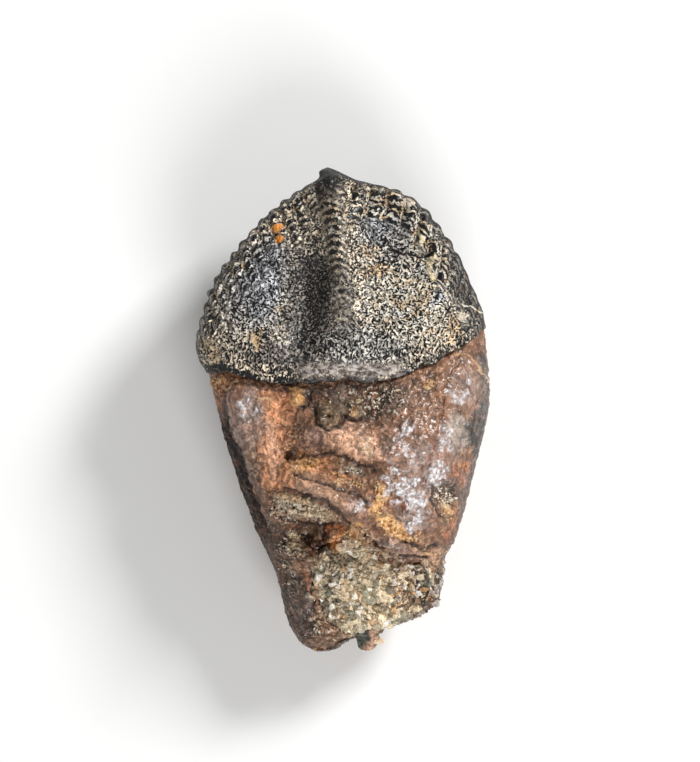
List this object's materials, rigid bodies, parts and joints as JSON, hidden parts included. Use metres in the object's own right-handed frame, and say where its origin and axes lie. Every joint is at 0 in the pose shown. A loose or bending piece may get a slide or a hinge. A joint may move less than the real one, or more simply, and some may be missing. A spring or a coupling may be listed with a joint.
{
  "type": "ceratopsian tooth",
  "caption": "Fossil ceratopsian tooth lying on its back: leaf-shaped ridged crown with toothed margins, broken brown root and sandstone left in the root's hollow.",
  "frame": {"origin": "on the flat worn spot of the back that the tooth rests on, below the middle of its length and width", "axes": "+Y from the root to the crown's tip, +Z out of the enamel face, +X to the right as the face is looked at"},
  "size_m": [0.023, 0.038, 0.0146],
  "materials": {
    "tooth": "glossy brown root, near-black pebbled enamel with cream specks",
    "sandstone": "matte, grainy"
  },
  "bodies": {
    "root": {"tooth": "tooth", "matrix": "sandstone"}
  },
  "joints": []
}
